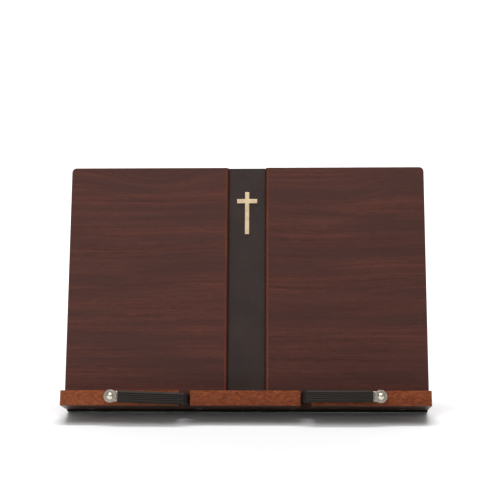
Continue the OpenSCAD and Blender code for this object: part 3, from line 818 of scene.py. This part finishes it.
# %% The stay in place
WIRE_RADIUS = 2.0 * MM
WIRE_END = 10.0 * MM
stay_pivot = Vector(joints["stay_swing"]["pos_m"])
stay_low, stay_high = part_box("wire_stay")
crossbar = Vector((0, stay_low[1] + WIRE_RADIUS, stay_low[2] + WIRE_RADIUS))
stay_down = crossbar - stay_pivot
stay_home = frame_at(stay_pivot, (1, 0, 0), Vector((1, 0, 0)).cross(stay_down))
half_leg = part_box("rear_leg")[1][0]
leg_of_u = stay_high[0] - WIRE_RADIUS
reach = stay_down.length
u_path = [(half_leg - WIRE_END, 0, 0), (leg_of_u, 0, 0), (leg_of_u, 0, -reach)]
u_path += [(-x, y, z) for x, y, z in reversed(u_path)]
TIGHT, WIDE = 2.2 * MM, 6.0 * MM
stay_piece = grown(wire_rule, u_path, chain(len(u_path)), {
    "Wire radius": WIRE_RADIUS, "Finish": zinc_steel}, stay_home, "wire_stay_made",
    marks={"bend": [0, TIGHT, WIDE, WIDE, TIGHT, 0]})
placed(stay_piece, "wire_stay")
print("the stay is", round(reach / MM, 1), "mm from its pivot to its crossbar")

# %% [markdown]
# ## Countersunk screws
# Every screw is one shape at several places: a cone head with a cross recess on a plain shank.
# The tree builds that shape once, cuts the cross out of it and sets it on a list of points, each
# turned by its own random angle, because no two screws stop at the same turn.

# %% Screws
SCREW_SIDES = 32
RECESS_ARM = 0.28


def screw_tree():
    """Countersunk screws on points: head at z = 0, shank towards +z."""
    tree, given, out = new_tree("countersunk screws", [
        ("Head radius", "Float"), ("Shank radius", "Float"), ("Length", "Float"),
        ("Recess", "Float"), ("Turn seed", "Int")])
    size = given.outputs
    head_depth = sums(tree, "SUBTRACT", size["Head radius"], size["Shank radius"])
    head = box(tree, "GeometryNodeMeshCone", {
        "Vertices": SCREW_SIDES, "Radius Top": size["Shank radius"],
        "Radius Bottom": size["Head radius"], "Depth": head_depth}).outputs["Mesh"]
    shank = box(tree, "GeometryNodeMeshCylinder", {
        "Vertices": SCREW_SIDES, "Radius": size["Shank radius"],
        "Depth": size["Length"]}).outputs["Mesh"]
    half = box(tree, "ShaderNodeCombineXYZ", {2: sums(tree, "MULTIPLY", size["Length"], 0.5)})
    shank = box(tree, "GeometryNodeTransform", {"Geometry": shank, "Translation": half.outputs[0]})
    slot_wide = sums(tree, "MULTIPLY", size["Recess"], RECESS_ARM)
    cutters = []
    for long, short in ((size["Recess"], slot_wide), (slot_wide, size["Recess"])):
        bar = box(tree, "ShaderNodeCombineXYZ", {0: long, 1: short, 2: size["Recess"]})
        cutters.append(box(tree, "GeometryNodeMeshCube", {"Size": bar.outputs[0]}).outputs[0])
    whole = box(tree, "GeometryNodeMeshBoolean", operation="UNION", solver="EXACT")
    tree.links.new(head, whole.inputs["Mesh 2"])
    tree.links.new(shank.outputs[0], whole.inputs["Mesh 2"])
    cut = box(tree, "GeometryNodeMeshBoolean", {"Mesh 1": whole.outputs[0]},
              operation="DIFFERENCE", solver="EXACT")
    for cutter in cutters:
        tree.links.new(cutter, cut.inputs["Mesh 2"])
    angle = box(tree, "FunctionNodeRandomValue", {"Seed": size["Turn seed"]}, data_type="FLOAT")
    turn = box(tree, "ShaderNodeCombineXYZ", {2: sums(tree, "MULTIPLY", angle.outputs[1], math.pi)})
    spots = box(tree, "GeometryNodeMeshToPoints", {"Mesh": size["Path"]}).outputs[0]
    many = box(tree, "GeometryNodeInstanceOnPoints", {
        "Points": spots, "Instance": cut.outputs[0], "Rotation": turn.outputs[0]})
    return end_tree(tree, given, out, many.outputs[0], crisp=True)


screw_rule = screw_tree()
print("screw tree has", len(screw_rule.nodes), "boxes")

# %% Counting a node's solids


def solids(node, home):
    """The low and high corners, in a frame, of each separate solid of a node, sorted by place
    so that they come in the same order each time."""
    inverse = home.inverted()
    shape = merged_copy(node)
    left, found = set(shape.verts), []
    while left:
        front, seen = [left.pop()], []
        while front:
            vertex = front.pop()
            seen.append(inverse @ vertex.co)
            fresh = [e.other_vert(vertex) for e in vertex.link_edges]
            fresh = [v for v in fresh if v in left]
            left.difference_update(fresh)
            front.extend(fresh)
        found.append(([min(p[i] for p in seen) for i in range(3)],
                      [max(p[i] for p in seen) for i in range(3)]))
    shape.free()
    return sorted(found, key=lambda pair: [round(c / MM, 1) for c in pair[0]])


print("the ledge takes", len(solids("ledge_screws", board_frame)), "screws")

# %% [markdown]
# ## Screws in place
# The ledge's screws are driven up from below, and all the others forwards from behind. In a
# frame whose z axis is the driving direction, each screw's head lies at its lowest z.

# %% Driving the screws
SHANK_SHARE, RECESS_SHARE = 0.5, 1.05
hinge_at = Vector(joints["leg_fold"]["pos_m"])
leg_frame = frame_at(hinge_at, (1, 0, 0), Matrix.Rotation(leg_open, 3, "X") @ board_back)
forwards = Matrix.Rotation(math.radians(90), 4, "X")
for seed, (node, home) in enumerate({
    "ledge_screws": board_frame, "block_screws": board_frame @ forwards,
    "rack_screws": board_frame @ forwards, "block_leaf_screws": board_frame @ forwards,
    "leg_leaf_screws": leg_frame @ forwards,
}.items()):
    found = solids(node, home)
    low, high = found[0]
    head = (high[0] - low[0]) / 2
    spots = [((a[0] + b[0]) / 2, (a[1] + b[1]) / 2, a[2]) for a, b in found]
    piece = grown(screw_rule, spots, [], {
        "Head radius": head, "Shank radius": head * SHANK_SHARE, "Length": high[2] - low[2],
        "Recess": head * RECESS_SHARE, "Turn seed": seed, "Finish": screw_steel,
    }, home, node + "_made")
    placed(piece, node)
    print(node, len(found), "screws with heads", round(2 * head / MM, 1), "mm across")

# %% [markdown]
# ## Floor and light
# The floor is a sheet of pale paper that curves up behind the stand, so there is no horizon.
# The light is soft: a broad panel above and in front, weaker ones in front at the left and
# behind, and one that lights the paper wall. The rest comes evenly from the white surroundings.

# %% Stage


def pale_paper(tone=0.88, rough=0.8):
    """A plain finish for the floor."""
    made, tree, shader = new_material("pale_paper")
    shader.inputs["Base Color"].default_value = (tone, tone, tone, 1)
    shader.inputs["Roughness"].default_value = rough
    return made


def paper_sweep(half_width, front, back, bend, top, steps=23):
    """A pale paper sweep: a floor that curves up into a wall behind the stand."""
    turns = [math.pi / 2 * i / steps for i in range(steps + 1)]
    outline = [(front, 0.0)]
    outline += [(back + bend * math.sin(t), bend - bend * math.cos(t)) for t in turns]
    outline.append((back + bend, top))
    rows = [[(x, y, z) for y, z in outline] for x in (-half_width, half_width)]
    count = len(outline)
    faces = [(i, count + i, count + i + 1, i + 1) for i in range(count - 1)]
    mesh = bpy.data.meshes.new("paper_sweep")
    mesh.from_pydata(rows[0] + rows[1], [], faces)
    mesh.materials.append(pale_paper())
    mesh.shade_smooth()
    made = bpy.data.objects.new("paper_sweep", mesh)
    bpy.context.collection.objects.link(made)


def softbox(name, place, aim, wide, high, watts):
    """A rectangular area light that faces a point."""
    light = bpy.data.lights.new(name, "AREA")
    light.shape, light.size, light.size_y, light.energy = "RECTANGLE", wide, high, watts
    made = bpy.data.objects.new(name, light)
    made.location = place
    made.rotation_euler = (Vector(aim) - Vector(place)).to_track_quat("-Z", "Y").to_euler()
    bpy.context.collection.objects.link(made)


paper_sweep(half_width=6.0, front=-5.0, back=1.2, bend=0.8, top=6.0)
MIDDLE = (0, 0, 0.12)
WALL_FOOT = (0, 1.9, 0.3)
softbox("key_above", (-0.15, -0.55, 1.7), MIDDLE, wide=1.5, high=0.9, watts=10)
softbox("front_fill", (-1.1, -1.5, 0.55), MIDDLE, wide=0.8, high=0.8, watts=3)
softbox("rear_fill", (0.3, 1.5, 1.3), MIDDLE, wide=1.4, high=0.8, watts=7)
softbox("wall_light", (0, 0.4, 2.6), WALL_FOOT, wide=2.5, high=0.6, watts=60)
SURROUNDINGS = 0.36
world = bpy.data.worlds.new("studio")
world.use_nodes = True
world.node_tree.nodes["Background"].inputs["Color"].default_value = (1, 1, 1, 1)
world.node_tree.nodes["Background"].inputs["Strength"].default_value = SURROUNDINGS
bpy.context.scene.world = world
bpy.context.scene.view_settings.view_transform = "Standard"
print("paper sweep and four soft lights set")

# %% [markdown]
# ## Camera
# The camera stands a little right of the middle, above the ledge, and looks slightly down. Its
# long lens keeps the board's sides nearly upright. A camera looks down its own -z axis, so it is
# first raised to look level, and then turned.

# %% Camera
CAMERA_PLACE = (0.0436, -1.3082, 0.3329)
YAW, PITCH, ROLL = (math.radians(a) for a in (1.938, -7.530, 0.373))
FOCUS, SENSOR = 98.53, 36.0
lens = bpy.data.cameras.new("camera")
lens.lens, lens.sensor_width = FOCUS, SENSOR
camera = bpy.data.objects.new("camera", lens)
level = Matrix.Rotation(math.radians(90), 4, "X")
aimed = Matrix.Rotation(YAW, 4, "Z") @ Matrix.Rotation(PITCH, 4, "X")
aimed = aimed @ Matrix.Rotation(ROLL, 4, "Y")
camera.matrix_world = Matrix.Translation(CAMERA_PLACE) @ aimed @ level
bpy.context.collection.objects.link(camera)
bpy.context.scene.camera = camera
print("camera", round((Vector(CAMERA_PLACE) - Vector(MIDDLE)).length, 2), "m from the stand")
